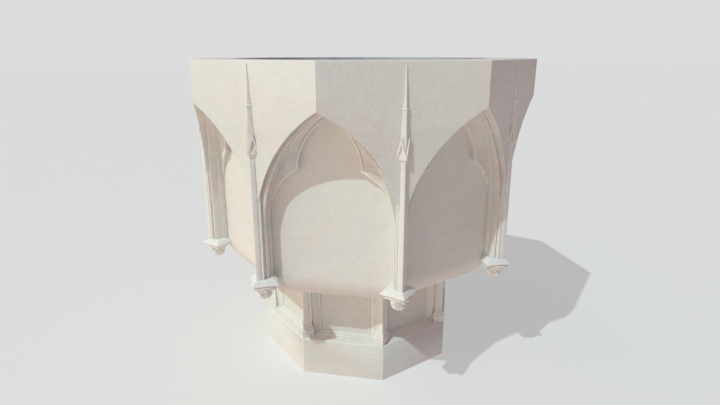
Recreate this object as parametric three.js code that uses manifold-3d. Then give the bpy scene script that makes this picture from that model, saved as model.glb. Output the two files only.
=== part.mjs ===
// Octagonal gothic baptismal font in pale limestone, with a lead lining and a brass waste.
// Millimetres, +Z up, the font standing on z = 0 about the Z axis.
// Flat faces of the rim look along +-X and +-Y. A "pier" stands at the middle of each rim face,
// an "arch" is centred on each rim corner.
import * as THREE from 'three';
import { mergeVertices } from 'three/addons/utils/BufferGeometryUtils.js';
import Module from 'manifold-3d';

// ---------------------------------------------------------------- driving dimensions
const GAP = 0.3;                 // mason's joint left between touching pieces
const SIDES = 8;
const STEP = 360 / SIDES;
const RIM_APOTHEM = 490;         // rim, axis to flat face
const RIM_TOP = 945;
const PANEL_APOTHEM = 408;       // inner octagon of the bowl, axis to panel face
const BOWL_BOTTOM = 301;
const BOWL_ROUND = 85;           // radius of the rounded lower edge of the bowl
const PIER_FOOT = 386;           // top of the corbel plates

const ARCH_HALF_SPAN = 188.5;    // outer order
const ARCH_SPRING = 510;
const ARCH_APEX = 837;
const JAMB_HALF_SPAN = 167;      // second order, at the piers
const SECOND_ORDER_INSET = 7;    // second order behind the first, at the apex
const FIRST_DEPTH_FOOT = 13;     // depths run back from the rim corner, along the arch axis
const FIRST_DEPTH_APEX = 26;
const FIRST_DEPTH_TURN = 620;    // height where the first order starts to deepen
const SECOND_DEPTH = 36;
const QUIRK = 3;
const TRACERY_DEPTH = 52;
const CUSP_HALF_SPAN = 163.7;
const CUSP_EDGE = 426;           // axis to the cusp tips, which lean back from the orders
const CUSP_RELIEF = 11;          // the tips are cut back behind their edge
const CURVE_STEPS = 9;

const SHAFT_FRONT = 503;         // front arris of the pier shafts, at the foot
const SHAFT_HALF = 14.5;         // half width behind the facets
const SHAFT_TAPER = 3;
const GABLET_FRONT = 507.4;
const GABLET_HALF_DIAGONAL = 20;
const GABLET_BLOCK_FRONT = 503.6;
const GABLET_FOOT = 708;
const GABLET_EAVES = 728;
const GABLET_APEX = 773;
const SPIRE_CENTRE = 491;
const SPIRE_TIP = 937;
const SPIRE_RING = 840;

const CORBEL_CENTRE = 470.8;
const CORBEL_HALF_DIAGONAL = 50.9;
const BOSS_CENTRE = 473;

const PLINTH_CORNER = 325;       // axis to plinth corner
const PLINTH_HEIGHT = 118;
const PLINTH_TOP = 125.5;
const STEM_APOTHEM = 280;
const STEM_PANEL_APOTHEM = 266;
const STEM_SHAFT_CENTRE = 300;
const STEM_SHAFT_HALF_DIAGONAL = 18;

const BASIN_RADIUS = 366;
const BASIN_FLOOR = 612;
const BASIN_FLOOR_RADIUS = 250;
const LINING = 3;
const LINING_FLANGE = 384;
const ROUND_STEPS = 40;

const BORE_RADIUS = 34;          // passage for the waste through stem and plinth
const PIPE_RADIUS = 24;
const PIPE_WALL = 3;
const PIPE_FOOT = 2;
const WASTE_RADIUS = 42;
const RING_RADIUS = 12;
const RING_WIRE = 1.6;

// ---------------------------------------------------------------- materials
const finish = (color, roughness, metalness) => ({ color, roughness, metalness });
const STONE = finish(0xe6e1d4, 0.85, 0);
const PALE_STONE = finish(0xebe7dc, 0.82, 0);
const LEAD = finish(0x7d8084, 0.6, 0.7);
const BRASS = finish(0xb08d4a, 0.35, 0.9);
const RUBBER = finish(0x26262a, 0.7, 0);

const wasm = await Module();
wasm.setup();
const font = new THREE.Group();
font.name = 'baptismal_font';

// ---------------------------------------------------------------- small tools
const rad = (degrees) => (degrees * Math.PI) / 180;

function toSolid(geometry) {
  geometry.deleteAttribute('normal');
  geometry.deleteAttribute('uv');
  const merged = mergeVertices(geometry, 1e-4);
  const mesh = new wasm.Mesh({
    numProp: 3,
    vertProperties: new Float32Array(merged.attributes.position.array),
    triVerts: new Uint32Array(merged.index.array),
  });
  return new wasm.Manifold(mesh);
}

function addPart(name, solid, look) {
  const mesh = solid.getMesh();
  const geometry = new THREE.BufferGeometry();
  geometry.setAttribute('position', new THREE.BufferAttribute(mesh.vertProperties, 3));
  geometry.setIndex(new THREE.BufferAttribute(mesh.triVerts, 1));
  const flat = geometry.toNonIndexed();
  flat.computeVertexNormals();
  const part = new THREE.Mesh(flat, new THREE.MeshStandardMaterial(look));
  part.name = name;
  font.add(part);
}

// Closed body through rings of points; every ring has the same number of points.
function loft(rings) {
  const count = rings[0].length;
  const flat = rings[0].map(([x, y]) => new THREE.Vector2(x, y));
  const depthwise = Math.abs(THREE.ShapeUtils.area(flat)) < 1e-6;
  const outline = depthwise ? rings[0].map(([x, , z]) => new THREE.Vector2(x, z)) : flat;
  const caps = THREE.ShapeUtils.triangulateShape(outline, []);
  const index = [];
  for (let k = 0; k + 1 < rings.length; k += 1) {
    for (let i = 0; i < count; i += 1) {
      const a = k * count + i;
      const b = k * count + ((i + 1) % count);
      index.push(a, b, b + count, a, b + count, a + count);
    }
  }
  const last = (rings.length - 1) * count;
  for (const [a, b, c] of caps) {
    index.push(c, b, a);
    index.push(last + a, last + b, last + c);
  }
  const geometry = new THREE.BufferGeometry();
  geometry.setAttribute('position', new THREE.Float32BufferAttribute(rings.flat(2), 3));
  geometry.setIndex(index);
  return toSolid(geometry);
}

// Plan polygon [x, y], anticlockwise, raised from z0 to z1.
function prism(plan, z0, z1) {
  return loft([z0, z1].map((z) => plan.map(([x, y]) => [x, y, z])));
}

// Outline [across, z], anticlockwise seen from outside, carried from one axis distance to another.
function slab(outline, inner, outer, outerOutline = outline) {
  const back = outline.map(([x, z]) => [x, -inner, z]);
  const front = outerOutline.map(([x, z]) => [x, -outer, z]);
  return loft([back, front]);
}

function regular(sides, radius, startDegrees) {
  const points = [];
  for (let k = 0; k < sides; k += 1) {
    const a = rad(startDegrees + (k * 360) / sides);
    points.push([radius * Math.sin(a), -radius * Math.cos(a)]);
  }
  return points;
}

// Profile [radius, z] from bottom to top, swept as a regular polygon about a vertical line.
function stack(profile, sides, startDegrees, centreY = 0) {
  return loft(profile.map(([radius, z]) => (
    regular(sides, radius, startDegrees).map(([x, y]) => [x, y + centreY, z])
  )));
}

const corner = (apothem) => apothem / Math.cos(rad(STEP / 2));
const octagon = (profile) => stack(profile.map(([a, z]) => [corner(a), z]), SIDES, 0);
const turned = (profile, sides = ROUND_STEPS) => stack(profile, sides, 0);
const diamond = (profile, centre) => stack(profile, 4, 0, -centre);
const turn = (solid, degrees) => solid.rotate([0, 0, degrees]);
const mirrorOutline = (half) => [...half, ...half.filter(([x]) => x > 0).map(([x, z]) => [-x, z]).reverse()];

function tube(outer, inner, z0, z1, sides = 32) {
  const body = turned([[outer, z0], [outer, z1]], sides);
  return body.subtract(turned([[inner, z0 - 1], [inner, z1 + 1]], sides));
}

// ---------------------------------------------------------------- arch outlines
// Half outlines run from the foot up to the apex, on the +x side.
function outerArch(shrink) {
  const rise = ARCH_APEX - ARCH_SPRING;
  const radius = (ARCH_HALF_SPAN ** 2 + rise ** 2) / (2 * ARCH_HALF_SPAN);
  const centre = ARCH_HALF_SPAN - radius;
  const half = [[ARCH_HALF_SPAN - shrink, PIER_FOOT - 6]];
  const top = Math.acos(-centre / (radius - shrink));
  for (let k = 0; k <= CURVE_STEPS; k += 1) {
    const a = (top * k) / CURVE_STEPS;
    half.push([centre + (radius - shrink) * Math.cos(a), ARCH_SPRING + (radius - shrink) * Math.sin(a)]);
  }
  half[half.length - 1][0] = 0;
  return mirrorOutline(half);
}

// Second order: close behind the first at the apex, further in at the piers.
function innerArch(shrink) {
  const rise = ARCH_APEX - ARCH_SPRING;
  const radius = (ARCH_HALF_SPAN ** 2 + rise ** 2) / (2 * ARCH_HALF_SPAN);
  const centre = ARCH_HALF_SPAN - radius;
  const widest = ARCH_HALF_SPAN - JAMB_HALF_SPAN - SECOND_ORDER_INSET;
  const half = [[JAMB_HALF_SPAN - shrink, PIER_FOOT - 6]];
  const full = Math.acos(-centre / radius);
  for (let k = 0; k <= CURVE_STEPS; k += 1) {
    const a = (full * k) / CURVE_STEPS;
    const r = radius - SECOND_ORDER_INSET - widest * (1 - a / full) ** 1.6 - shrink;
    half.push([centre + r * Math.cos(a), ARCH_SPRING + r * Math.sin(a)]);
  }
  const kept = half.filter(([x]) => x > 0.5);
  const [x1, z1] = kept[kept.length - 1];
  const [x0, z0] = kept[kept.length - 2];
  kept.push([0, z1 + ((z1 - z0) * x1) / (x0 - x1)]);
  return mirrorOutline(kept);
}

// Trefoil cusping: two lower lobes, a pointed upper lobe, a cusp between them on each side.
// The relief widens the outline round the cusp tips only.
const CUSP_TIP = [80, 682];

function cuspedArch(relief) {
  const lower = new THREE.SplineCurve([
    [CUSP_HALF_SPAN, 560], [158, 588], [146, 615], [131, 639], [110, 660], CUSP_TIP,
  ].map(([x, z]) => new THREE.Vector2(x, z)));
  const upper = new THREE.SplineCurve([
    CUSP_TIP, [78, 706], [69, 736], [54, 763], [32, 789], [0, 813],
  ].map(([x, z]) => new THREE.Vector2(x, z)));
  const foot = new THREE.Vector2(CUSP_HALF_SPAN, PIER_FOOT - 6);
  const half = [foot, ...lower.getPoints(6), ...upper.getPoints(7).slice(1)];
  const centre = new THREE.Vector2(...CUSP_TIP);
  return mirrorOutline(half.map((p) => {
    const near = Math.max(0, 1 - p.distanceTo(centre) / 60);
    return [p.x + relief * near, p.y];
  }));
}

// Points along the second order that answer to the points of the cusped outline.
function eyeOutline() {
  const cusped = cuspedArch(0).slice(0, 15);
  const order = innerArch(QUIRK + 1.5).filter(([x]) => x >= 0);
  const from = cusped[1][1];
  const walk = (points) => {
    const sums = [0];
    for (let k = 1; k < points.length; k += 1) {
      const [dx, dz] = [0, 1].map((i) => points[k][i] - points[k - 1][i]);
      sums.push(sums[k - 1] + Math.hypot(dx, dz));
    }
    return sums;
  };
  const track = [[order[0][0], from], ...order.filter(([, z]) => z > from)];
  const trackAt = walk(track);
  const cuspAt = walk(cusped.slice(1));
  const half = cuspAt.map((distance) => {
    const wanted = (distance / cuspAt[cuspAt.length - 1]) * trackAt[trackAt.length - 1];
    const k = Math.max(1, trackAt.findIndex((d) => d >= wanted - 1e-9));
    const t = (wanted - trackAt[k - 1]) / (trackAt[k] - trackAt[k - 1]);
    return [0, 1].map((i) => track[k - 1][i] + t * (track[k][i] - track[k - 1][i]));
  });
  half[half.length - 1][0] = 0;
  return mirrorOutline([[order[0][0], PIER_FOOT - 6], ...half]);
}

// ---------------------------------------------------------------- bowl and arcade
function bowlBody(grow) {
  const profile = [];
  const steps = 7;
  const centre = PANEL_APOTHEM - BOWL_ROUND;
  for (let k = 0; k <= steps; k += 1) {
    const a = rad((90 * k) / steps);
    const r = BOWL_ROUND + grow;
    profile.push([centre + r * Math.sin(a), BOWL_BOTTOM + BOWL_ROUND - r * Math.cos(a)]);
  }
  profile.push([PANEL_APOTHEM + grow, RIM_TOP]);
  return octagon(profile);
}

function basinProfile(offset) {
  const round = 70;
  const floor = BASIN_FLOOR - offset;
  const profile = [[WASTE_RADIUS, floor - 6], [BASIN_FLOOR_RADIUS + offset, floor]];
  for (let k = 1; k <= 5; k += 1) {
    const a = rad(k * 15);
    profile.push([
      BASIN_FLOOR_RADIUS + (round + offset) * Math.sin(a),
      BASIN_FLOOR + round - (round + offset) * Math.cos(a),
    ]);
  }
  profile.push([BASIN_RADIUS + offset, RIM_TOP + 1]);
  return profile;
}

const RECESS_DEPTH = 14;         // pocket in the bowl floor for the waste flange

function buildBowl() {
  const rebate = turned([[LINING_FLANGE + GAP, RIM_TOP - LINING - GAP], [LINING_FLANGE + GAP, RIM_TOP + 1]]);
  const bore = turned([[BORE_RADIUS, BOWL_BOTTOM - 5], [BORE_RADIUS, BASIN_FLOOR]], 32);
  const seat = turned([[WASTE_RADIUS + 6, BASIN_FLOOR - RECESS_DEPTH], [WASTE_RADIUS + 6, BASIN_FLOOR]], 32);
  const body = bowlBody(0)
    .subtract(turned(basinProfile(LINING + GAP)))
    .subtract(rebate)
    .subtract(bore)
    .subtract(seat);
  addPart('bowl', body, STONE);
}

function buildLining() {
  const flange = turned([[LINING_FLANGE, RIM_TOP - LINING], [LINING_FLANGE, RIM_TOP]]);
  const hole = turned([[WASTE_RADIUS + GAP, BASIN_FLOOR - 30], [WASTE_RADIUS + GAP, BASIN_FLOOR + 5]], 32);
  const above = turned([[600, RIM_TOP], [600, RIM_TOP + 50]], 32);
  const body = turned(basinProfile(LINING))
    .subtract(above)
    .add(flange)
    .subtract(turned(basinProfile(0)))
    .subtract(hole);
  addPart('lead_lining', body, LEAD);
}

const planeAt = (depth) => RIM_APOTHEM - depth * Math.cos(rad(STEP / 2));

// Everything in front of a depth behind the rim faces, inside an arch outline (arch axis = -Y).
function recess(outline, footDepth, apexDepth, grow) {
  const left = octagon([
    [planeAt(footDepth) + grow, 300], [planeAt(footDepth) + grow, FIRST_DEPTH_TURN],
    [planeAt(apexDepth) + grow, ARCH_APEX], [planeAt(apexDepth) + grow, 1000],
  ]);
  return slab(outline, 380, 600).subtract(left);
}

// Cusped opening: straight behind the tips, dished forward to the second order.
function cuspedOpening() {
  const cusped = cuspedArch(0);
  const relieved = cuspedArch(CUSP_RELIEF);
  const eyes = eyeOutline();
  const plate = ([x]) => -(corner(planeAt(TRACERY_DEPTH)) - Math.abs(x) * Math.tan(rad(STEP / 2)));
  const edge = (k) => Math.max(-CUSP_EDGE, plate(eyes[k]) + 1);
  return loft([
    relieved.map(([x, z]) => [x, -380, z]),
    relieved.map(([x, z]) => [x, -PANEL_APOTHEM + 0.2, z]),
    cusped.map(([x, z], k) => [x, edge(k), z]),
    eyes.map(([x, z], k) => [x, plate(eyes[k]), z]),
    eyes.map(([x, z]) => [x, -600, z]),
  ]);
}

function archCuts(grow) {
  return [
    recess(outerArch(grow), FIRST_DEPTH_FOOT, FIRST_DEPTH_APEX, grow),
    recess(innerArch(grow), SECOND_DEPTH, SECOND_DEPTH, grow),
    recess(innerArch(QUIRK + grow), TRACERY_DEPTH, TRACERY_DEPTH, grow),
    cuspedOpening(),
  ];
}

// Face stone: one pier and the rim above it, out to the rim corners (pier axis = -Y).
function faceStone(grow) {
  const half = rad(STEP / 2);
  const side = grow > 0 ? 0 : GAP / 2;
  const clear = grow > 0 ? 0 : GAP;
  const face = RIM_APOTHEM + grow;
  const back = PANEL_APOTHEM + clear;
  const slip = side * Math.sin(half);
  const outer = [face * Math.tan(half) - side / Math.cos(half), -face];
  const inner = [back * Math.sin(half) - side * Math.cos(half), -back * Math.cos(half) - slip];
  const plan = [
    [-inner[0], inner[1]], [-outer[0], outer[1]], outer, inner, [0, -corner(back)],
  ];
  let stone = prism(plan, PIER_FOOT + clear, RIM_TOP);
  for (const cut of archCuts(grow)) {
    stone = stone.subtract(turn(cut, STEP / 2)).subtract(turn(cut, -STEP / 2));
  }
  return stone.decompose().sort((a, b) => b.volume() - a.volume())[0];
}

function buildFaceStones() {
  const stone = faceStone(0);
  for (let k = 0; k < SIDES; k += 1) {
    addPart(`face_stone_${k + 1}`, turn(stone, STEP * k), STONE);
  }
}

// ---------------------------------------------------------------- pier shafts and pinnacles
// Gable on one facet of the diagonal shaft: side is +1 or -1, the ridge runs back into the rim.
function gablet(side) {
  const run = GABLET_HALF_DIAGONAL * Math.SQRT2;
  const eave = GABLET_EAVES - 6;
  const outline = [[0, eave], [run, eave], [run, GABLET_EAVES], [run / 2, GABLET_APEX], [0, GABLET_EAVES]];
  const facing = side > 0 ? outline : outline.map(([x, z]) => [-x, z]).reverse();
  return turn(slab(facing, -run * 0.7, 0), side * 45).translate([0, -GABLET_FRONT, 0]);
}

function shaftPlan(front, half) {
  const side = front - half;
  const right = [
    [half, -side], [half - 4, -side + 4], [half - 4, -planeAt(FIRST_DEPTH_FOOT) - GAP],
  ];
  const left = right.map(([x, y]) => [-x, y]).reverse();
  return [...left, [0, -front], ...right];
}

function gabletBlock() {
  const ring = (front, half, z) => shaftPlan(front, half).map(([x, y]) => [x, y, z]);
  const top = SHAFT_FRONT - SHAFT_TAPER;
  return loft([
    ring(top, SHAFT_HALF, GABLET_FOOT - 4),
    ring(GABLET_BLOCK_FRONT, SHAFT_HALF + 3, GABLET_FOOT),
    ring(GABLET_BLOCK_FRONT, SHAFT_HALF + 3, GABLET_EAVES),
  ]);
}

function spire() {
  return diamond([
    [10.8, GABLET_EAVES], [10.4, GABLET_APEX], [8.6, 805], [6.9, SPIRE_RING - 5], [9, SPIRE_RING - 3],
    [9, SPIRE_RING + 2], [6.4, SPIRE_RING + 5], [4.2, 887], [0.9, SPIRE_TIP],
  ], SPIRE_CENTRE);
}

function buildPinnacles() {
  const foot = shaftPlan(SHAFT_FRONT, SHAFT_HALF).map(([x, y]) => [x, y, PIER_FOOT + GAP]);
  const head = shaftPlan(SHAFT_FRONT - SHAFT_TAPER, SHAFT_HALF).map(([x, y]) => [x, y, GABLET_EAVES]);
  const body = loft([foot, head])
    .add(gabletBlock())
    .add(gablet(1))
    .add(gablet(-1))
    .add(spire())
    .subtract(faceStone(GAP));
  const pinnacle = body.decompose().sort((a, b) => b.volume() - a.volume())[0];
  for (let k = 0; k < SIDES; k += 1) {
    addPart(`pinnacle_${k + 1}`, turn(pinnacle, STEP * k), PALE_STONE);
  }
}

function buildCorbels() {
  const plate = diamond([
    [38, 364], [47, 370.5], [CORBEL_HALF_DIAGONAL, 373], [CORBEL_HALF_DIAGONAL, 375.5],
    [38, 380.5], [36, 380.5], [31, PIER_FOOT],
  ], CORBEL_CENTRE);
  const boss = stack([
    [7, 320], [14.5, 326], [17, 335], [12, 350], [18, 357], [30, 365],
  ], 10, 0, -BOSS_CENTRE);
  const body = plate.add(boss).subtract(bowlBody(GAP));
  for (let k = 0; k < SIDES; k += 1) {
    addPart(`corbel_${k + 1}`, turn(body, STEP * k), PALE_STONE);
  }
}

// ---------------------------------------------------------------- stem and plinth
function stemShaft(grow) {
  const base = STEM_SHAFT_HALF_DIAGONAL + grow;
  const block = PLINTH_CORNER - STEM_SHAFT_CENTRE + grow;
  const foot = PLINTH_HEIGHT + (grow > 0 ? 0 : GAP);
  return diamond([
    [block, foot], [block, 147], [block + 2, 150], [block + 2, 155], [base + 4.5, 160], [base + 4.5, 164],
    [base + 2.5, 166], [base + 2.5, 170], [base, 173], [base, BOWL_BOTTOM - (grow > 0 ? 0 : GAP)],
  ], STEM_SHAFT_CENTRE);
}

function stemPanel() {
  const outline = (half, z0, z1) => [[-half, z0], [half, z0], [half, z1], [-half, z1]];
  const recess = slab(
    outline(78, 131, 276),
    STEM_PANEL_APOTHEM,
    STEM_APOTHEM,
    outline(96, 128.5, 290),
  );
  return recess.add(slab(outline(96, 128.5, 290), STEM_APOTHEM - 0.01, STEM_APOTHEM + 20));
}

function buildStem() {
  const socket = stemShaft(GAP);
  const panel = stemPanel();
  let core = octagon([[STEM_APOTHEM, PLINTH_TOP + GAP], [STEM_APOTHEM, BOWL_BOTTOM - GAP]]);
  core = core.subtract(turned([[BORE_RADIUS, 0], [BORE_RADIUS, BOWL_BOTTOM]], 32));
  let plinth = octagon([
    [PLINTH_CORNER * Math.cos(rad(STEP / 2)), 0],
    [PLINTH_CORNER * Math.cos(rad(STEP / 2)), PLINTH_HEIGHT],
    [STEM_APOTHEM, PLINTH_TOP],
  ]);
  plinth = plinth.subtract(turned([[BORE_RADIUS, -1], [BORE_RADIUS, PLINTH_TOP + 1]], 32));
  const shaft = stemShaft(0);
  for (let k = 0; k < SIDES; k += 1) {
    core = core.subtract(turn(socket, STEP * k)).subtract(turn(panel, STEP * (k + 0.5)));
    plinth = plinth.subtract(turn(socket, STEP * k));
    addPart(`stem_shaft_${k + 1}`, turn(shaft, STEP * k), PALE_STONE);
  }
  addPart('stem_core', core, STONE);
  addPart('plinth', plinth, STONE);
}

// ---------------------------------------------------------------- waste, plug and ring
const FLOOR_AT_WASTE = BASIN_FLOOR - 6;
const TAIL_FOOT = 500;

function buildWaste() {
  const flange = turned([
    [WASTE_RADIUS, FLOOR_AT_WASTE - 6], [WASTE_RADIUS, FLOOR_AT_WASTE - 2], [WASTE_RADIUS - 4, FLOOR_AT_WASTE],
  ], 32);
  const tail = turned([[29, TAIL_FOOT], [29, FLOOR_AT_WASTE - 5]], 32);
  const seat = turned([[24.5, FLOOR_AT_WASTE - 16], [28, FLOOR_AT_WASTE + 1]], 32);
  const throatRadius = PIPE_RADIUS - PIPE_WALL - 0.5;
  const throat = turned([[throatRadius, TAIL_FOOT - 1], [throatRadius, FLOOR_AT_WASTE]], 32);
  const socket = turned([[PIPE_RADIUS + GAP, TAIL_FOOT - 1], [PIPE_RADIUS + GAP, TAIL_FOOT + 30]], 32);
  addPart('waste_fitting', flange.add(tail).subtract(seat).subtract(throat).subtract(socket), BRASS);
  addPart('waste_pipe', tube(PIPE_RADIUS, PIPE_RADIUS - PIPE_WALL, PIPE_FOOT, TAIL_FOOT + 30 - GAP), LEAD);
}

const PLUG_TOP = FLOOR_AT_WASTE + 5;
const EYE_HEIGHT = PLUG_TOP + 2.9;

function buildPlug() {
  const stopper = turned([
    [23.5, FLOOR_AT_WASTE - 14], [27.4, FLOOR_AT_WASTE + 0.5], [27.4, PLUG_TOP - 1], [26, PLUG_TOP],
  ], 32);
  const post = slab([[-5.5, PLUG_TOP - 1], [5.5, PLUG_TOP - 1], [5.5, EYE_HEIGHT + 3], [3, EYE_HEIGHT + 6],
    [-3, EYE_HEIGHT + 6], [-5.5, EYE_HEIGHT + 3]], -2, 2);
  const hole = slab(regular(16, RING_WIRE + 0.9, 0).map(([x, z]) => [x, z + EYE_HEIGHT]), -4, 4);
  addPart('drain_plug', stopper.add(post).subtract(hole), RUBBER);
  const ring = new THREE.TorusGeometry(RING_RADIUS, RING_WIRE, 10, 24);
  ring.translate(RING_RADIUS, 0, EYE_HEIGHT);
  addPart('pull_ring', toSolid(ring), BRASS);
}

buildStem();
buildBowl();
buildFaceStones();
buildPinnacles();
buildCorbels();
buildLining();
buildWaste();
buildPlug();

export default font;
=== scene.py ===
"""Octagonal gothic font in limestone, with its lead, brass and rubber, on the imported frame."""
import math
import random
from contextlib import contextmanager

import bmesh
import bpy
from mathutils import Matrix, Vector, noise
from mathutils.geometry import intersect_point_line


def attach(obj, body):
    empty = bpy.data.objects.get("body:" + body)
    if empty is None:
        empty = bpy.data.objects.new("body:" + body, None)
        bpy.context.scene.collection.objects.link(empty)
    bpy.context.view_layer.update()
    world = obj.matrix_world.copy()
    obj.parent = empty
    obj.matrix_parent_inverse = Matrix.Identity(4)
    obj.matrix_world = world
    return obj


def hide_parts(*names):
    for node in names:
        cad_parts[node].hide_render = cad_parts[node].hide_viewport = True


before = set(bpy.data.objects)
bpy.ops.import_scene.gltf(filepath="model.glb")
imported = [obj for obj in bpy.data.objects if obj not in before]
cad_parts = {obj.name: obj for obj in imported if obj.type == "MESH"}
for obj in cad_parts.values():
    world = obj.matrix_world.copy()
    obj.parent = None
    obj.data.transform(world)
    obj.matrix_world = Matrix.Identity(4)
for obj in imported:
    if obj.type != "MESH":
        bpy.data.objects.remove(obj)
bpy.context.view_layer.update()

# ------------------------------------------------------------------ dimensions, millimetres
MM = 0.001
TO_MM = 1000
SIDES = 8
STEP = 360 / SIDES
HALF_STEP = math.radians(STEP / 2)
TAN = math.tan(HALF_STEP)
COS = math.cos(HALF_STEP)
GAP = 0.3  # between touching pieces
RIM = 490.0  # from the axis to a face of the rim
TOP = 945.0
PANEL = 408.0  # from the axis to a panel of the bowl
FOOT = 386.0  # height of the piers' lower ends
CLEAR = 600.0  # axis distance past every face, where cutters end
UNDER_FOOT = FOOT - 6  # height below every pier, where arch cutters start

ARCH_SPAN, ARCH_SPRING, ARCH_APEX = 188.5, 510.0, 837.0
JAMB_SPAN, ORDER_INSET, QUIRK = 167.0, 7.0, 3.0
FIRST_DEPTH, FIRST_DEPTH_APEX, FIRST_TURN = 13.0, 26.0, 620.0
SECOND_DEPTH, TRACERY_DEPTH = 36.0, 52.0
CUSP_SPAN, CUSP_EDGE, CUSP_RELIEF = 163.7, 426.0, 11.0
CUSP_FILLET = 5.0
CUSP_TIP = (80.0, 682.0)
LOWER_LOBE = [(CUSP_SPAN, 560), (158, 588), (146, 615), (131, 639), (110, 660), CUSP_TIP]
UPPER_LOBE = [CUSP_TIP, (78, 706), (69, 736), (54, 763), (32, 789), (0, 813)]
ARC_STEPS = 26

SHAFT_FRONT, SHAFT_HALF, SHAFT_TAPER, SHAFT_QUIRK = 503.0, 14.5, 3.0, 2.3
SHAFT_BACK, SHAFT_RETURN = 470.0, 4.0
JAMB_FACE, JAMB_TOP = 478.3, 641.0
GABLET_FRONT, GABLET_DIAGONAL, GABLET_BLOCK = 506.4, 20.0, 501.4
GABLET_FOOT, GABLET_EAVES, GABLET_APEX = 716.0, 728.0, 773.0
SPIRE_CENTRE, SPIRE_TIP, SPIRE_RING = 491.0, 937.0, 840.0

CORBEL_CENTRE, BOSS_CENTRE = 470.8, 475.0
FOLIAGE_VOXEL, LUMP, FACES_KEPT = 0.9, 1.1, 0.42  # the last is a share
BOWL_UNDERSIDE, BOWL_ROUND = 301, 85
STEM_SHAFT_CENTRE, STEM_QUIRK = 300.0, 1.6
SUNK_PANEL, SUNK_BORDER = 263, 269.6
BASIN_FLOOR, BASIN_FLOOR_RADIUS, BASIN_RADIUS, BASIN_ROUND = 612.0, 250.0, 366.0, 70.0
LINING, FLANGE = 3.0, 384.0
WASTE_RADIUS, WASTE_SEAT, PLUG_TOP = 42.0, BASIN_FLOOR - 6, 611.0
RING_RADIUS, RING_WIRE = 12.0, 1.6
EYE = PLUG_TOP + 2.9
ROUND_SIDES = 144
MERGE = 0.02  # vertices closer than this are one


# ------------------------------------------------------------------ mesh tools
def linked(name, data):
    """Object in the scene that holds data: a mesh, a light or a camera."""
    obj = bpy.data.objects.new(name, data)
    bpy.context.scene.collection.objects.link(obj)
    return obj


@contextmanager
def editing(obj):
    """The object's mesh as a BMesh, written back at the end of the block."""
    bm = bmesh.new()
    bm.from_mesh(obj.data)
    yield bm
    bm.to_mesh(obj.data)
    bm.free()


def new_object(name, verts, faces):
    """Mesh object from points in millimetres, with its normals facing out."""
    obj = linked(name, bpy.data.meshes.new(name))
    with editing(obj) as bm:
        made = [bm.verts.new(Vector(v) * MM) for v in verts]
        for f in faces:
            bm.faces.new([made[i] for i in f])
        bmesh.ops.recalc_face_normals(bm, faces=bm.faces)
    return obj


def loft(name, rings):
    """Closed body through rings of points, all with the same count."""
    count = len(rings[0])
    verts = [p for ring in rings for p in ring]
    faces = []
    for k in range(len(rings) - 1):
        for i in range(count):
            a, b = k * count + i, k * count + (i + 1) % count
            faces.append((a, b, b + count, a + count))
    last = (len(rings) - 1) * count
    faces.append(tuple(reversed(range(count))))
    faces.append(tuple(range(last, last + count)))
    return new_object(name, verts, faces)


def annulus(name, profile, sides):
    """Closed profile [radius, z] swept round the axis; points on the axis stay single."""
    verts, index, faces = [], [], []
    for r, z in profile:
        if r < 1e-6:
            index.append([len(verts)] * sides)
            verts.append((0, 0, z))
            continue
        index.append(list(range(len(verts), len(verts) + sides)))
        for k in range(sides):
            a = math.tau * k / sides
            verts.append((r * math.sin(a), -r * math.cos(a), z))
    for k, ring in enumerate(index):
        nxt = index[(k + 1) % len(index)]
        for i in range(sides):
            j = (i + 1) % sides
            quad = (ring[i], ring[j], nxt[j], nxt[i])
            corners = tuple(dict.fromkeys(quad))
            if len(corners) > 2:
                faces.append(corners)
    return new_object(name, verts, faces)


def regular(sides, radius):
    """Regular polygon in plan, with a corner on -Y."""
    angles = [math.tau * k / sides for k in range(sides)]
    return [(radius * math.sin(a), -radius * math.cos(a)) for a in angles]


def soften(plan, radius, steps=2):
    """Rounds every corner of a closed plan."""
    out = []
    count = len(plan)
    for i in range(count):
        before, here, after = (Vector(plan[(i + d) % count]) for d in (-1, 0, 1))
        reach = min(radius, (before - here).length * 0.4, (after - here).length * 0.4)
        a = here + (before - here).normalized() * reach
        b = here + (after - here).normalized() * reach
        for k in range(steps + 1):
            t = k / steps
            out.append(tuple(a * (1 - t) ** 2 + here * 2 * t * (1 - t) + b * t * t))
    return out


def stack(name, profile, sides, centre=0.0, rounding=0.0):
    """Profile [radius, z] swept as a regular polygon about a vertical line at y = -centre."""
    rings = []
    for r, z in profile:
        plan = regular(sides, r)
        if rounding:
            plan = soften(plan, rounding)
        rings.append([(x, y - centre, z) for x, y in plan])
    return loft(name, rings)


def prism(name, plan, low, high):
    """Plan carried straight up from one height to another."""
    return loft(name, [[(x, y, z) for x, y in plan] for z in (low, high)])


def slab(name, outline, inner, outer):
    """Outline [across, z] carried from one axis distance to another, facing -Y."""
    return loft(name, [[(x, -d, z) for x, z in outline] for d in (inner, outer)])


def rotated(obj, degrees):
    """Turns the mesh about the font's axis."""
    obj.data.transform(Matrix.Rotation(math.radians(degrees), 4, "Z"))
    return obj


def bake(obj):
    """Applies the object's modifiers."""
    bpy.context.view_layer.update()
    graph = bpy.context.evaluated_depsgraph_get()
    mesh = bpy.data.meshes.new_from_object(obj.evaluated_get(graph))
    old = obj.data
    obj.modifiers.clear()
    obj.data = mesh
    mesh.name = obj.name
    bpy.data.meshes.remove(old)
    return obj


def combine(obj, tools, operation="DIFFERENCE"):
    """Cuts the tools from the object, or unites them with it, and deletes them."""
    for tool in tools:
        change = obj.modifiers.new("change", "BOOLEAN")
        change.object = tool
        change.solver = "EXACT"
        change.operation = operation
    bake(obj)
    for tool in tools:
        bpy.data.objects.remove(tool)
    return obj


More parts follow.
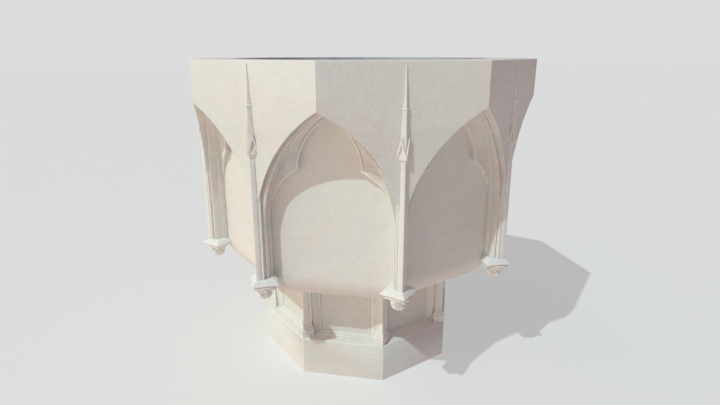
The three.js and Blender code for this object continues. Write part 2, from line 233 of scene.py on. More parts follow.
def clean(obj, flat=0.4):
    """Merges double vertices and joins coplanar triangles into flat faces."""
    with editing(obj) as bm:
        bmesh.ops.remove_doubles(bm, verts=bm.verts, dist=MERGE * MM)
        bmesh.ops.dissolve_degenerate(bm, dist=MERGE * MM, edges=bm.edges)
        bmesh.ops.dissolve_limit(
            bm, angle_limit=math.radians(flat), verts=bm.verts, edges=bm.edges, delimit=set()
        )
    return obj


def split_wide_faces(bm):
    """Triangulates the faces with five corners or more."""
    bmesh.ops.triangulate(bm, faces=[f for f in bm.faces if len(f.verts) > 4])


def triangulate(obj):
    with editing(obj) as bm:
        split_wide_faces(bm)
    return obj


def join(obj, others):
    """Adds the meshes of other objects as loose shells, and deletes those objects."""
    with editing(obj) as bm:
        for other in others:
            bm.from_mesh(other.data)
            bpy.data.objects.remove(other)
    return obj


def keep_largest(bm):
    """Deletes every loose shell but the one with the most faces."""
    left = set(bm.faces)
    shells = []
    while left:
        start = left.pop()
        shell, todo = {start}, [start]
        while todo:
            face = todo.pop()
            for edge in face.edges:
                for other in edge.link_faces:
                    if other in left:
                        left.discard(other)
                        shell.add(other)
                        todo.append(other)
        shells.append(shell)
    shells.sort(key=len, reverse=True)
    for shell in shells[1:]:
        bmesh.ops.delete(bm, geom=list(shell), context="FACES")


def two_slots(obj):
    """Makes room for a second material, which finish_piece sets to the white stone used as painted
    highlight.
    """
    while len(obj.data.materials) < 2:
        obj.data.materials.append(None)


def bevel(obj, width, wanted, segments=2, sharp=25):
    """Rounds the sharp convex edges whose midpoint (millimetres) passes wanted(); the rounded
    faces take the second slot, which carries painted highlight.
    """
    two_slots(obj)
    limit = math.radians(sharp)
    with editing(obj) as bm:
        chosen = [
            e for e in bm.edges
            if len(e.link_faces) == 2
            and e.calc_face_angle_signed() > limit
            and wanted((e.verts[0].co + e.verts[1].co) * (TO_MM / 2))
        ]
        bmesh.ops.bevel(
            bm, geom=chosen, offset=width * MM, segments=segments, profile=0.5,
            affect="EDGES", clamp_overlap=False, material=1,
        )
        split_wide_faces(bm)
    return obj


def shade(obj, angle):
    """Smooth shading, with edges sharper than the angle kept crisp."""
    obj.data.shade_smooth()
    obj.data.set_sharp_from_angle(angle=math.radians(angle))
    return obj


def everywhere(_point):
    return True


def finish_piece(obj, material, body, nodes):
    """Gives the object its materials, and hands it to the frame for the nodes it stands for."""
    slots = obj.data.materials
    if len(slots) > 1:
        # a second slot takes the white stone, painted highlight on bevels and fillets
        slots[0], slots[1] = material, WHITE_STONE_AND_HIGHLIGHT
    else:
        slots.clear()
        slots.append(material)
    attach(obj, body)
    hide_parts(*nodes)
    return obj


def around(first, name, material):
    """Eight turned copies of one piece, each standing for its numbered CAD node."""
    first.name = first.data.name = name + "_look_1"
    for k in range(SIDES):
        obj = first
        if k:
            obj = rotated(linked(f"{name}_look_{k + 1}", first.data.copy()), STEP * k)
            obj.data.name = obj.name
        finish_piece(obj, material, "font", [f"{name}_{k + 1}"])


# ------------------------------------------------------------------ node materials
class Shader:
    """Small helper that builds the node tree of a material or a world."""

    def __init__(self, owner):
        owner.use_nodes = True
        self.owner = owner
        self.tree = owner.node_tree
        self.tree.nodes.clear()

    @classmethod
    def material(cls, name):
        return cls(bpy.data.materials.new(name))

    def put(self, value, socket):
        if isinstance(value, bpy.types.NodeSocket):
            self.tree.links.new(value, socket)
        elif value is not None:
            socket.default_value = value

    def node(self, kind, inputs=None, **properties):
        made = self.tree.nodes.new(kind)
        for key, value in properties.items():
            setattr(made, key, value)
        for key, value in (inputs or {}).items():
            self.put(value, made.inputs[key])
        return made

    def noise(self, vector, scale, detail=3.0, rough=0.55, distortion=0.0):
        made = self.node(
            "ShaderNodeTexNoise",
            {"Vector": vector, "Scale": scale, "Detail": detail, "Roughness": rough,
             "Distortion": distortion},
        )
        return made.outputs[0]

    def ramp(self, value, low, high, start=0.0, end=1.0, smooth=True):
        made = self.node(
            "ShaderNodeMapRange",
            {"Value": value, "From Min": low, "From Max": high, "To Min": start, "To Max": end},
        )
        if smooth:
            made.interpolation_type = "SMOOTHSTEP"
        return made.outputs[0]

    def maths(self, operation, a, b=None):
        made = self.node("ShaderNodeMath", operation=operation)
        self.put(a, made.inputs[0])
        self.put(b, made.inputs[1])
        return made.outputs[0]

    def mix(self, factor, a, b, blend="MIX"):
        made = self.node("ShaderNodeMix", data_type="RGBA", blend_type=blend)
        self.put(factor, made.inputs[0])
        self.put(a, made.inputs[6])
        self.put(b, made.inputs[7])
        return made.outputs[2]

    def specks(self, vector, scale, core, edge, choice, least):
        """Round spots in the Voronoi cells where a slower noise passes least."""
        cells = self.node(
            "ShaderNodeTexVoronoi", {"Vector": vector, "Scale": scale, "Randomness": 1.0}
        )
        spot = self.ramp(cells.outputs["Distance"], core, edge, 1.0, 0.0)
        chosen = self.ramp(self.noise(vector, choice, 2.0, 0.5), least, least + 0.05)
        return self.maths("MULTIPLY", spot, chosen)

    def stretch(self, vector, scale):
        return self.node("ShaderNodeMapping", {"Vector": vector, "Scale": scale}).outputs[0]

    def bump(self, height, strength, distance, normal=None):
        made = self.node(
            "ShaderNodeBump", {"Height": height, "Strength": strength, "Distance": distance}
        )
        self.put(normal, made.inputs["Normal"])
        return made.outputs[0]

    def output(self, surface, kind="ShaderNodeOutputMaterial"):
        self.node(kind, {"Surface": surface.outputs[0]})
        return self.owner

    def close(self, inputs):
        return self.output(self.node("ShaderNodeBsdfPrincipled", inputs))


def colour(r, g, b):
    return (r, g, b, 1.0)


def stone(name, base, warm, cool, pits=1.0, under_shade=0.0, bedding=1.0):
    """Limestone; the last three say how strong its pits, painted shade under the bowl and beds
    are.
    """
    s = Shader.material(name)
    geometry = s.node("ShaderNodeNewGeometry")
    place = geometry.outputs["Position"]
    split = s.node("ShaderNodeSeparateXYZ", {"Vector": place})
    # broad mottling, warm and cool
    broad = s.noise(place, 4.5, 4.0, 0.6)
    patches = s.noise(s.stretch(place, (1.0, 1.0, 1.7)), 8.0, 5.0, 0.62, 0.6)
    small = s.noise(place, 42.0, 5.0, 0.65, 0.3)
    tone = s.mix(s.ramp(broad, 0.40, 0.62), base, warm)
    tone = s.mix(s.ramp(patches, 0.46, 0.64), tone, cool)
    tone = s.mix(s.ramp(small, 0.42, 0.70, 0.0, 0.16), tone, colour(0.52, 0.46, 0.41))
    # faint bedding, nearly level
    beds = s.noise(s.stretch(place, (1.1, 1.1, 46.0)), 1.6, 4.0, 0.6, 0.25)
    bed_line = s.ramp(beds, 0.56, 0.70, 0.0, 0.16 * bedding)
    tone = s.mix(bed_line, tone, colour(0.60, 0.56, 0.52))
    # fine grain
    grain = s.noise(place, 230.0, 6.0, 0.7)
    tone = s.mix(s.ramp(grain, 0.35, 0.75, 0.10, 0.0), tone, colour(0.50, 0.45, 0.38))
    # small brown pits in loose drifts
    drift = s.ramp(s.noise(place, 5.0, 3.0, 0.6), 0.42, 0.62)
    pit = s.maths("MULTIPLY", s.specks(place, 185.0, 0.12, 0.42, 43.0, 0.42), drift)
    tone = s.mix(s.maths("MULTIPLY", pit, 0.40 * pits), tone, colour(0.38, 0.30, 0.25))
    # sparse larger dark specks
    dots = s.specks(place, 62.0, 0.07, 0.17, 17.0, 0.56)
    dots = s.maths("MULTIPLY", dots, s.ramp(drift, 0.0, 1.0, 0.3, 1.0))
    tone = s.mix(s.maths("MULTIPLY", dots, 0.26 * pits), tone, colour(0.32, 0.26, 0.22))
    # painted shade on the underside of the bowl: ragged brown darkening low down
    if under_shade:
        lower = s.ramp(split.outputs[2], 0.30, 0.385, 1.0, 0.0)
        ragged = s.ramp(s.noise(s.stretch(place, (1, 1, 0.5)), 14.0, 4.0, 0.65), 0.30, 0.62)
        painted_under_shade = s.maths("MULTIPLY", s.maths("MULTIPLY", lower, ragged), under_shade)
        tone = s.mix(painted_under_shade, tone, colour(0.47, 0.37, 0.28))
    # painted highlight on sharp arrises where Pointiness is high, also standing for their wear
    wear_and_highlight = s.ramp(geometry.outputs["Pointiness"], 0.505, 0.56, 0.0, 0.35)
    tone = s.mix(wear_and_highlight, tone, colour(0.90, 0.88, 0.82))
    # relief: dressing, grain and pits
    dressing = s.bump(s.noise(s.stretch(place, (1, 1, 2.2)), 28.0, 4.0, 0.6), 0.22, 0.004)
    rough = s.bump(grain, 0.16, 0.0012, dressing)
    relief = s.bump(s.maths("MULTIPLY", pit, -pits), 0.35, 0.0008, rough)
    roughness = s.ramp(grain, 0.3, 0.7, 0.78, 0.95)
    return s.close({
        "Base Color": tone, "Roughness": roughness, "Normal": relief,
        "Specular IOR Level": 0.22,
    })


def lead():
    s = Shader.material("lead_sheet")
    place = s.node("ShaderNodeNewGeometry").outputs["Position"]
    cloud = s.noise(place, 7.0, 5.0, 0.6, 0.4)
    streak = s.noise(s.stretch(place, (6, 6, 1)), 5.0, 4.0, 0.6)
    tone = s.mix(s.ramp(cloud, 0.35, 0.7), colour(0.40, 0.405, 0.41), colour(0.55, 0.55, 0.54))
    tone = s.mix(s.ramp(streak, 0.55, 0.75, 0.0, 0.5), tone, colour(0.66, 0.65, 0.62))
    dents = s.bump(s.noise(place, 22.0, 3.0, 0.5), 0.35, 0.004)
    return s.close({
        "Base Color": tone, "Metallic": 0.25, "Roughness": s.ramp(cloud, 0.3, 0.7, 0.5, 0.72),
        "Normal": s.bump(s.noise(place, 160.0, 4.0), 0.12, 0.0008, dents),
    })


def brass():
    s = Shader.material("aged_brass")
    place = s.node("ShaderNodeTexCoord").outputs["Object"]
    cloud = s.noise(place, 45.0, 5.0, 0.6, 0.3)
    turned = s.noise(s.stretch(place, (1, 1, 30)), 60.0, 3.0, 0.6)
    tone = s.mix(s.ramp(cloud, 0.35, 0.68), colour(0.60, 0.43, 0.17), colour(0.36, 0.25, 0.11))
    return s.close({
        "Base Color": tone, "Metallic": 1.0, "Roughness": s.ramp(cloud, 0.3, 0.7, 0.24, 0.5),
        "Normal": s.bump(turned, 0.08, 0.0004),
    })


def rubber():
    s = Shader.material("black_rubber")
    place = s.node("ShaderNodeTexCoord").outputs["Object"]
    dust = s.noise(place, 60.0, 5.0, 0.65)
    tone = s.mix(s.ramp(dust, 0.45, 0.75), colour(0.022, 0.022, 0.024), colour(0.07, 0.066, 0.06))
    return s.close({
        "Base Color": tone, "Roughness": s.ramp(dust, 0.3, 0.7, 0.5, 0.8),
        "Normal": s.bump(s.noise(place, 500.0, 3.0), 0.15, 0.0003),
    })


CREAM = colour(0.800, 0.785, 0.740)
PINK = colour(0.785, 0.725, 0.680)
GREEN = colour(0.738, 0.752, 0.712)
STONE = stone("limestone", CREAM, PINK, GREEN)
# the bowl's stone has painted shade on its underside
BOWL_STONE = stone("limestone_bowl", CREAM, PINK, GREEN, pits=0.6, under_shade=0.3, bedding=1.6)
PLINTH_STONE = stone("limestone_plinth", CREAM, PINK, GREEN, pits=0.7, bedding=3.2)
PALE = stone(
    "limestone_carved", colour(0.830, 0.818, 0.780), colour(0.82, 0.78, 0.735),
    colour(0.795, 0.805, 0.77), pits=0.12, bedding=0.5,
)
# whitest stone: the corbels are made of it, and bevels and fillets take it as painted highlight
WHITE_STONE_AND_HIGHLIGHT = stone(
    "limestone_white_and_highlight", colour(0.90, 0.89, 0.86), colour(0.89, 0.865, 0.83),
    colour(0.88, 0.885, 0.86), pits=0.1, bedding=0.2,
)
LEAD, BRASS, RUBBER = lead(), brass(), rubber()


# ------------------------------------------------------------------ arches
# Outlines are right halves in millimetres [across, z], from the foot up to the apex.
def arch_curve():
    """Radius, centre and whole angle of the arc on one side of the outer arch."""
    rise = ARCH_APEX - ARCH_SPRING
    radius = (ARCH_SPAN ** 2 + rise ** 2) / (2 * ARCH_SPAN)
    centre = ARCH_SPAN - radius
    return radius, centre, math.acos(-centre / radius)


def outer_arch():
    radius, centre, full = arch_curve()
    half = [(ARCH_SPAN, UNDER_FOOT)]
    for k in range(ARC_STEPS + 1):
        a = full * k / ARC_STEPS
        half.append((centre + radius * math.cos(a), ARCH_SPRING + radius * math.sin(a)))
    half[-1] = (0.0, half[-1][1])
    return half


def inner_arch(shrink):
    """Edge of the inner orders: wide at the jamb, and closing on the outer arch at the apex."""
    radius, centre, full = arch_curve()
    widest = ARCH_SPAN - JAMB_SPAN - ORDER_INSET
    half = [(JAMB_SPAN - shrink, UNDER_FOOT)]
    for k in range(ARC_STEPS + 1):
        a = full * k / ARC_STEPS
        r = radius - ORDER_INSET - widest * (1 - a / full) ** 1.6 - shrink
        half.append((centre + r * math.cos(a), ARCH_SPRING + r * math.sin(a)))
    kept = [p for p in half if p[0] > 0.5]
    (x0, z0), (x1, z1) = kept[-2:]
    kept.append((0.0, z1 + (z1 - z0) * x1 / (x0 - x1)))
    return kept


def spline(points, count):
    """Catmull-Rom curve through points, as count pieces."""
    pts = [Vector(p) for p in points]
    pts = [pts[0] * 2 - pts[1]] + pts + [pts[-1] * 2 - pts[-2]]
    out = []
    for k in range(count + 1):
        t = (len(points) - 1) * k / count
        i = min(int(t), len(points) - 2)
        t -= i
        a, b, c, d = pts[i:i + 4]
        out.append(tuple(
            0.5 * (2 * b + (c - a) * t + (2 * a - 5 * b + 4 * c - d) * t * t
                   + (3 * b - a - 3 * c + d) * t ** 3)
        ))
    return out


def cusped_arch(relief=0.0):
    """Two-lobed edge of the tracery; relief draws its tip back."""
    half = [(CUSP_SPAN, UNDER_FOOT)] + spline(LOWER_LOBE, 12) + spline(UPPER_LOBE, 14)[1:]
    out = []
    for x, z in half:
        near = max(0.0, 1 - math.dist((x, z), CUSP_TIP) / 60)
        out.append((x + relief * near, z))
    return out


def along(track, count_like):
    """Points on track at the same shares of its length as count_like has on its own."""
    def walk(points):
        sums = [0.0]
        for p, q in zip(points, points[1:]):
            sums.append(sums[-1] + math.dist(p, q))
        return sums
    at, like = walk(track), walk(count_like)
    out = []
    for d in like:
        wanted = d / like[-1] * at[-1]
        k = max(1, next(i for i, v in enumerate(at) if v >= wanted - 1e-7))
        t = (wanted - at[k - 1]) / (at[k] - at[k - 1])
        out.append(tuple(track[k - 1][i] * (1 - t) + track[k][i] * t for i in (0, 1)))
    return out


def eye_outline():
    """Inner order with the point count of the cusped edge, so that the two can be lofted."""
    cusped = cusped_arch()
    order = inner_arch(QUIRK + 1.2)
    start = cusped[1][1]
    track = [(order[0][0], start)] + [p for p in order if p[1] > start]
    half = along(track, cusped[1:])
    half[-1] = (0.0, half[-1][1])
    return [(order[0][0], UNDER_FOOT)] + half


def mirrored(half):
    """Whole outline from its right half."""
    return half + [(-x, z) for x, z in reversed(half) if x > 1e-6]


def behind_rim(depth, x):
    """How far out, at x across the arch, the surface lies that is depth behind the rim faces."""
    return RIM / COS - depth - abs(x) * TAN


def pocket(name, half, depth):
    """Cutter inside an arch outline, in front of a mitred surface at depth(z)."""
    verts, faces, ids = [], [], []
    for x, z in half:
        back = -behind_rim(depth(z), x)
        axis = -behind_rim(depth(z), 0)
        row = [(x, back, z), (0, axis, z), (-x, back, z)]
        row += [(x, -CLEAR, z), (0, -CLEAR, z), (-x, -CLEAR, z)]
        if x < 1e-6:
            row = [row[1]] * 3 + [row[4]] * 3
        seen = {}
        for p in row:
            if p not in seen:
                seen[p] = len(verts)
                verts.append(p)
        ids.append([seen[p] for p in row])

    def face(*corners):
        unique = tuple(dict.fromkeys(corners))
        if len(unique) > 2:
            faces.append(unique)

    for a, b in zip(ids, ids[1:]):
        for i, j in ((0, 1), (1, 2), (3, 4), (4, 5), (0, 3), (2, 5)):
            face(a[i], a[j], b[j], b[i])
    low = ids[0]
    face(low[0], low[1], low[4], low[3])
    face(low[1], low[2], low[5], low[4])
    return new_object(name, verts, faces)


def cusped_opening():
    """Cutter for the cusped hole, with a flat fillet on its edge and dished eyes."""
    cusped = mirrored(cusped_arch())
    relieved = mirrored(cusped_arch(CUSP_RELIEF))
    eyes = mirrored(eye_outline())
    fronts = [-behind_rim(TRACERY_DEPTH, x) for x, _ in eyes]
    edges = [max(-CUSP_EDGE, front + 1) for front in fronts]
    share, sunk = [], []
    for here, there, edge, front in zip(cusped, eyes, edges, fronts):
        reach = max(math.dist(here, there), 0.01)
        share.append(min(0.4, CUSP_FILLET / reach))
        sunk.append(min(2.4, max(0.0, (edge - front) * 0.3), reach * 0.25))

    def towards_eyes(extra):
        return [
            (x + (ex - x) * (part + extra), z + (ez - z) * (part + extra))
            for (x, z), (ex, ez), part in zip(cusped, eyes, share)
        ]

    rings = [
        [(x, 28 - PANEL, z) for x, z in relieved],
        [(x, 0.2 - PANEL, z) for x, z in relieved],
        [(x, e, z) for (x, z), e in zip(cusped, edges)],
        [(x, e - 0.5 * d, z) for (x, z), e, d in zip(towards_eyes(0), edges, sunk)],
        [(x, e + 0.9 * d, z) for (x, z), e, d in zip(towards_eyes(0.06), edges, sunk)],
        [(x, f, z) for (x, z), f in zip(eyes, fronts)],
        [(x, -CLEAR, z) for x, z in eyes],
    ]
    return loft("opening", rings)


# ------------------------------------------------------------------ rim, piers and arches
def first_depth(z):
    """Depth of the outermost order, which deepens towards the apex."""
    t = min(1.0, max(0.0, (z - FIRST_TURN) / (ARCH_APEX - FIRST_TURN)))
    return FIRST_DEPTH + (FIRST_DEPTH_APEX - FIRST_DEPTH) * t


def highlight_fillets(obj):
    """Paints highlight on the flat fillet along the cusped edges: its faces take the second slot,
    the white stone of the arrises.
    """
    two_slots(obj)
    track = [Vector(p) for p in mirrored(cusped_arch())]
    for turn in (HALF_STEP, -HALF_STEP):
        ahead = Vector((math.sin(turn), -math.cos(turn), 0))
        across = Vector((math.cos(turn), math.sin(turn), 0))
        for face in obj.data.polygons:
            middle = face.center * TO_MM
            if face.normal.dot(ahead) < 0.5 or middle.dot(ahead) > CUSP_EDGE + 5:
                continue
            spot = Vector((middle.dot(across), middle.z))
            for a, b in zip(track, track[1:]):
                near, share = intersect_point_line(spot, a, b)
                if -0.1 < share < 1.1 and (near.xy - spot).length < CUSP_FILLET + 0.4:
                    face.material_index = 1
                    break
    return obj


def make_face_stone():
    """One pier with the rim above it and half an arch on each side."""
    back = PANEL + GAP
    side = GAP / 2
    outer = (RIM * TAN - side / COS, -RIM)
    inner = (back * math.sin(HALF_STEP) - side * COS, -back * COS - side * math.sin(HALF_STEP))
    plan = [
        (-inner[0], inner[1]), (-outer[0], outer[1]), outer, inner, (0, -back / COS),
    ]
    block = prism("face_stone", plan, FOOT + GAP, TOP)
    tools = []
    for turn in (STEP / 2, -STEP / 2):
        tools += [
            rotated(pocket("first", outer_arch(), first_depth), turn),
            rotated(pocket("second", inner_arch(0), lambda z: SECOND_DEPTH), turn),
            rotated(pocket("third", inner_arch(QUIRK), lambda z: TRACERY_DEPTH), turn),
            rotated(cusped_opening(), turn),
        ]
    stone_block = clean(combine(block, tools))
    highlight_fillets(stone_block)
    joint = math.sin(HALF_STEP), COS

    def on_joint(p):
        return abs(abs(p.x) * joint[1] + p.y * joint[0] + side) < 0.35

    def rim_edge(p):
        return p.z > TOP - 0.1 and p.y < -RIM + 0.1

    def arris(p):
        return p.y < -RIM + 0.1 and p.z < TOP - 1 and not on_joint(p)

    def moulding(p):
        inside = -RIM + 0.4 < p.y < -PANEL - 2
        return inside and p.z < ARCH_APEX + 5 and not on_joint(p)

    # the bevelled faces take the second slot: painted highlight along the rim, the arrises and the
    # mouldings
    bevel(stone_block, 1.8, rim_edge, 3)
    bevel(stone_block, 0.8, arris, 2)
    bevel(stone_block, 0.9, moulding, 1, 30)
    return shade(stone_block, 20)


FACE_STONE = make_face_stone()


# ------------------------------------------------------------------ pinnacled shafts
def quirked_facet(front, half, quirk, shares):
    """Points of the quirk sunk in the right front facet of a diagonal shaft, in plan."""
    facet = []
    for share, depth in zip(shares, (0, quirk, quirk, 0)):
        sink = depth * math.sqrt(0.5)
        facet.append((half * share - sink, -front + half * share + sink))
    return facet


def shaft_plan(front, half, quirk=0.0):
    """Diagonal pier shaft in plan, with a quirk near the outer end of each front facet."""
    side = front - half
    neck = half - SHAFT_RETURN
    right = [
        *quirked_facet(front, half, quirk, (0.60, 0.65, 0.80, 0.85)),
        (half, -side), (neck, -side + SHAFT_RETURN), (neck, -SHAFT_BACK),
    ]
    left = [(-x, y) for x, y in reversed(right)]
    return soften([*left, (0.0, -front), *right], 0.9)


def gablet(side):
    """One gable of the pinnacle, on side 1 or -1: its wall, and a coping proud of it."""
    run = GABLET_DIAGONAL * math.sqrt(2)
    inner = (GABLET_DIAGONAL - 3) * math.sqrt(2)
    eave, mid = GABLET_EAVES - 6, run / 2
    wall = [
        (0.4, GABLET_FOOT), (inner - 0.4, GABLET_FOOT), (inner - 0.4, GABLET_EAVES + 2),
        (inner / 2, GABLET_APEX - 6), (0.4, GABLET_EAVES + 2),
    ]
    cope = [
        (0, eave), (4.4, eave), (mid, GABLET_APEX - 15), (run - 4.4, eave), (run, eave),
        (run, GABLET_EAVES), (mid + 0.5, GABLET_APEX), (mid - 0.5, GABLET_APEX), (0, GABLET_EAVES),
    ]
    bodies = []
    for outline, front, proud in ((wall, GABLET_BLOCK, 0), (cope, GABLET_FRONT, 0.9)):
        shape = outline if side > 0 else [(-x, z) for x, z in reversed(outline)]
        body = slab("gable", shape, -run * 0.72, proud)
        rotated(body, side * 45)
        body.data.transform(Matrix.Translation((0, -front * MM, 0)))
        bodies.append(body)
    return bodies


def make_pinnacle():
    """Pier shaft with its gablets, spire, ring and finial, cut to lie on the face stone."""
    lower = [(x, y, FOOT + GAP) for x, y in shaft_plan(SHAFT_FRONT, SHAFT_HALF, SHAFT_QUIRK)]
    top_plan = shaft_plan(SHAFT_FRONT - SHAFT_TAPER, SHAFT_HALF, SHAFT_QUIRK)
    upper = [(x, y, GABLET_EAVES) for x, y in top_plan]
    shaft = loft("pinnacle", [lower, upper])
    rings = []
    for front, half, z in (
        (GABLET_BLOCK - 0.6, SHAFT_HALF + 1.0, GABLET_FOOT - 1.5),
        (GABLET_BLOCK - 0.2, SHAFT_HALF + 4.0, GABLET_FOOT),
        (GABLET_BLOCK - 0.2, SHAFT_HALF + 4.0, GABLET_EAVES - 2),
    ):
        rings.append([(x, y, z) for x, y in shaft_plan(front, half)])
    block = loft("block", rings)
    ring = [(r, SPIRE_RING + lift) for r, lift in (
        (7.0, -5.6), (7.2, -4.6), (9.2, -2.2), (9.7, -1), (9.5, 0.4), (6.3, 2.2), (5.7, 4),
        (6.8, 5.8), (6.8, 7.6), (5.5, 9.4),
    )]
    spire = stack("spire", [
        (11.6, GABLET_EAVES), (11.0, GABLET_APEX), (8.7, 805), *ring, (3.8, 890), (1.7, 926),
        (1.4, 929), (1.9, 931), (1.8, 933), (0.7, SPIRE_TIP),
    ], 4, SPIRE_CENTRE, 0.7)
    body = combine(shaft, [block, *gablet(1), *gablet(-1), spire], "UNION")
    behind = [
        prism(name, [(-60, -front), (60, -front), (60, -400), (-60, -400)], low, high)
        for name, front, low, high in (
            ("rear", RIM, JAMB_TOP - 1, TOP + 15), ("rear_low", JAMB_FACE, 300, JAMB_TOP),
        )
    ]
    body = combine(body, [*behind, linked("hold", FACE_STONE.data.copy())])
    with editing(body) as bm:
        bmesh.ops.remove_doubles(bm, verts=bm.verts, dist=MERGE * MM)
        keep_largest(bm)
    return shade(triangulate(clean(body)), 20)


# ------------------------------------------------------------------ corbels with carved foliage
def leaf(path, width, lobes, thick, rng):
    """Lobed, ribbed leaf along a path of (radius, z) points; a list of verts and faces."""
    rows, cols = 18, 11
    line = spline(path, rows)
    verts, faces = [], []
    for side in (1, -1):
        for i, (r, z) in enumerate(line):
            u = i / rows
            full = math.sin(math.pi * min(1.0, 0.10 + 0.90 * u ** 0.85)) ** 0.6
            edge = width * full * (1 + 0.16 * math.cos(math.tau * lobes * u))
            for j in range(cols):
                v = 2 * j / (cols - 1) - 1
                rib = 1.1 * math.exp(-(v * 5) ** 2) + 0.55 * math.cos(v * math.pi * 3) * full
                cup = -2.2 * v * v * full
                wobble = 0.25 * rng.uniform(-1, 1)
                out = side * thick * (1 - 0.75 * v * v) * (0.35 + full) + rib + cup + wobble
                verts.append((v * edge, -(r + out * 0.75), z - out * 0.45))
    sheet = (rows + 1) * cols
    for i in range(rows):
        for j in range(cols - 1):
            a = i * cols + j
            b = a + cols
            faces.append((a, a + 1, b + 1, b))
            faces.append((sheet + a, sheet + b, sheet + b + 1, sheet + a + 1))
    rim = list(range(cols))
    rim += [i * cols + cols - 1 for i in range(1, rows + 1)]
    rim += [rows * cols + j for j in range(cols - 2, -1, -1)]
    rim += [i * cols for i in range(rows - 1, 0, -1)]
    for a, b in zip(rim, rim[1:] + rim[:1]):
        faces.append((a, b, sheet + b, sheet + a))
    return verts, faces


def make_foliage():
    """Boss of leaves round a core, with berries below, melted together and roughened."""
    rng = random.Random(7)
    verts, faces = [], []

    def add(path, width, lobes, thick, degrees):
        points, sides = leaf(path, width, lobes, thick, rng)
        a = math.radians(degrees)
        c, s = math.cos(a), math.sin(a)
        base = len(verts)
        for x, y, z in points:
            verts.append((c * x - s * y, s * x + c * y - BOSS_CENTRE, z))
        faces.extend(tuple(base + i for i in f) for f in sides)

    spread = [(12, 344), (15, 349), (21, 354.5), (27, 358.5), (31.5, 358.5), (33, 355)]
    corner = [(12, 344), (16, 350.5), (24, 357.5), (32, 362.3), (37.5, 362.8), (39.5, 359)]
    for k in range(4):
        add(corner, 9.5, 3, 2.4, 90 * k)
        add(spread, 10.0, 3, 2.4, 90 * k + 45)
    under = [(13, 345), (17.5, 348), (22, 351), (25, 352), (26, 349.5)]
    for k in range(8):
        add(under, 6.8, 2, 2.2, 45 * k + 22.5)
    curled = [(8, 328.8), (13.6, 331.4), (17.2, 337), (18.0, 343), (17.4, 347.5), (19.5, 349.5)]
    for k in range(7):
        add(curled, 7.4, 3, 1.9, 360 / 7 * k + 12)
    tucked = [(3, 326.8), (8.6, 327.2), (13.3, 331), (15.9, 336), (17.4, 337)]
    for k in range(6):
        add(tucked, 5.8, 2, 1.7, 60 * k + 30)
    foliage = new_object("foliage", verts, faces)
    core = stack("core", [
        (4, 326.0), (10, 327.2), (14.4, 331.5), (16.4, 338), (16.0, 344), (16.2, 348.5),
        (20, 353.5), (28, 359), (34, 364.5), (34, 367),
    ], 24, BOSS_CENTRE)
    berries = []
    for k in range(9):
        a, lift = math.tau * k / 9 + 0.3, 326.2 + 1.2 * (k % 2)
        reach = 4.8 if k % 2 else 7.6
        ball = stack("berry", [
            (0.6, -2.9), (1.9, -2.3), (2.8, -0.9), (2.9, 0.7), (2.1, 2.1), (0.7, 2.9),
        ], 10)
        ball.data.transform(Matrix.Translation(Vector((
            reach * math.sin(a), -BOSS_CENTRE - reach * math.cos(a), lift + 1.6,
        )) * MM))
        berries.append(ball)
    join(foliage, [core, *berries])
    melt = foliage.modifiers.new("melt", "REMESH")
    melt.mode = "VOXEL"
    melt.voxel_size = FOLIAGE_VOXEL * MM
    soft = foliage.modifiers.new("soft", "SMOOTH")
    soft.factor, soft.iterations = 0.5, 2
    bake(foliage)
    with editing(foliage) as bm:
        bm.normal_update()
        for v in bm.verts:
            lump = noise.noise(v.co * 210) + 0.6 * noise.noise(v.co * 430)
            v.co += v.normal * (LUMP * MM * lump)
    fewer = foliage.modifiers.new("fewer", "DECIMATE")
    fewer.ratio = FACES_KEPT
    return bake(foliage)


def bowl_outside(grow, steps):
    """Profile [corner radius, z] of the bowl's outside, rounded under; grow makes it larger."""
    profile = []
    centre = PANEL - BOWL_ROUND
    for k in range(steps + 1):
        a = math.radians(90 * k / steps)
        profile.append((
            (centre + (BOWL_ROUND + grow) * math.sin(a)) / COS,
            BOWL_UNDERSIDE + BOWL_ROUND - (BOWL_ROUND + grow) * math.cos(a),
        ))
    profile.append(((PANEL + grow) / COS, TOP))
    return profile


def make_corbel():
    """Moulded square plate set diagonally, cut to lie on the bowl, over its boss of foliage."""
    plate = stack("corbel", [
        (30, 363.5), (38, 364.6), (42, 366.2), (44.6, 368.0), (46.0, 368.8), (49.6, 369.8),
        (50.9, 371.0), (50.9, 373.6), (50.3, 374.5), (43.9, 379.2), (43.4, 379.5), (43.2, 380.8),
        (42.6, 381.4), (39.4, 381.9), (38.6, 382.4), (34.0, 384.8), (31.6, 385.6), (31, FOOT),
    ], 4, CORBEL_CENTRE, 1.2)
    shade(combine(plate, [stack("bowl_cut", bowl_outside(GAP, 14), SIDES)]), 24)
    return join(plate, [shade(make_foliage(), 60)])


# ------------------------------------------------------------------ bowl, stem and plinth
def basin(offset, steps=16):
    """Profile [radius, z] of the inside of the lining, from the waste up; offset thickens it."""
    floor = BASIN_FLOOR - offset
    profile = [(WASTE_RADIUS, floor - 6), (BASIN_FLOOR_RADIUS + offset, floor)]
    for k in range(1, steps + 1):
        a = math.radians(75 * k / steps)
        profile.append((
            BASIN_FLOOR_RADIUS + (BASIN_ROUND + offset) * math.sin(a),
            BASIN_FLOOR + BASIN_ROUND - (BASIN_ROUND + offset) * math.cos(a),
        ))
    profile.append((BASIN_RADIUS + offset, TOP + 1))
    return profile


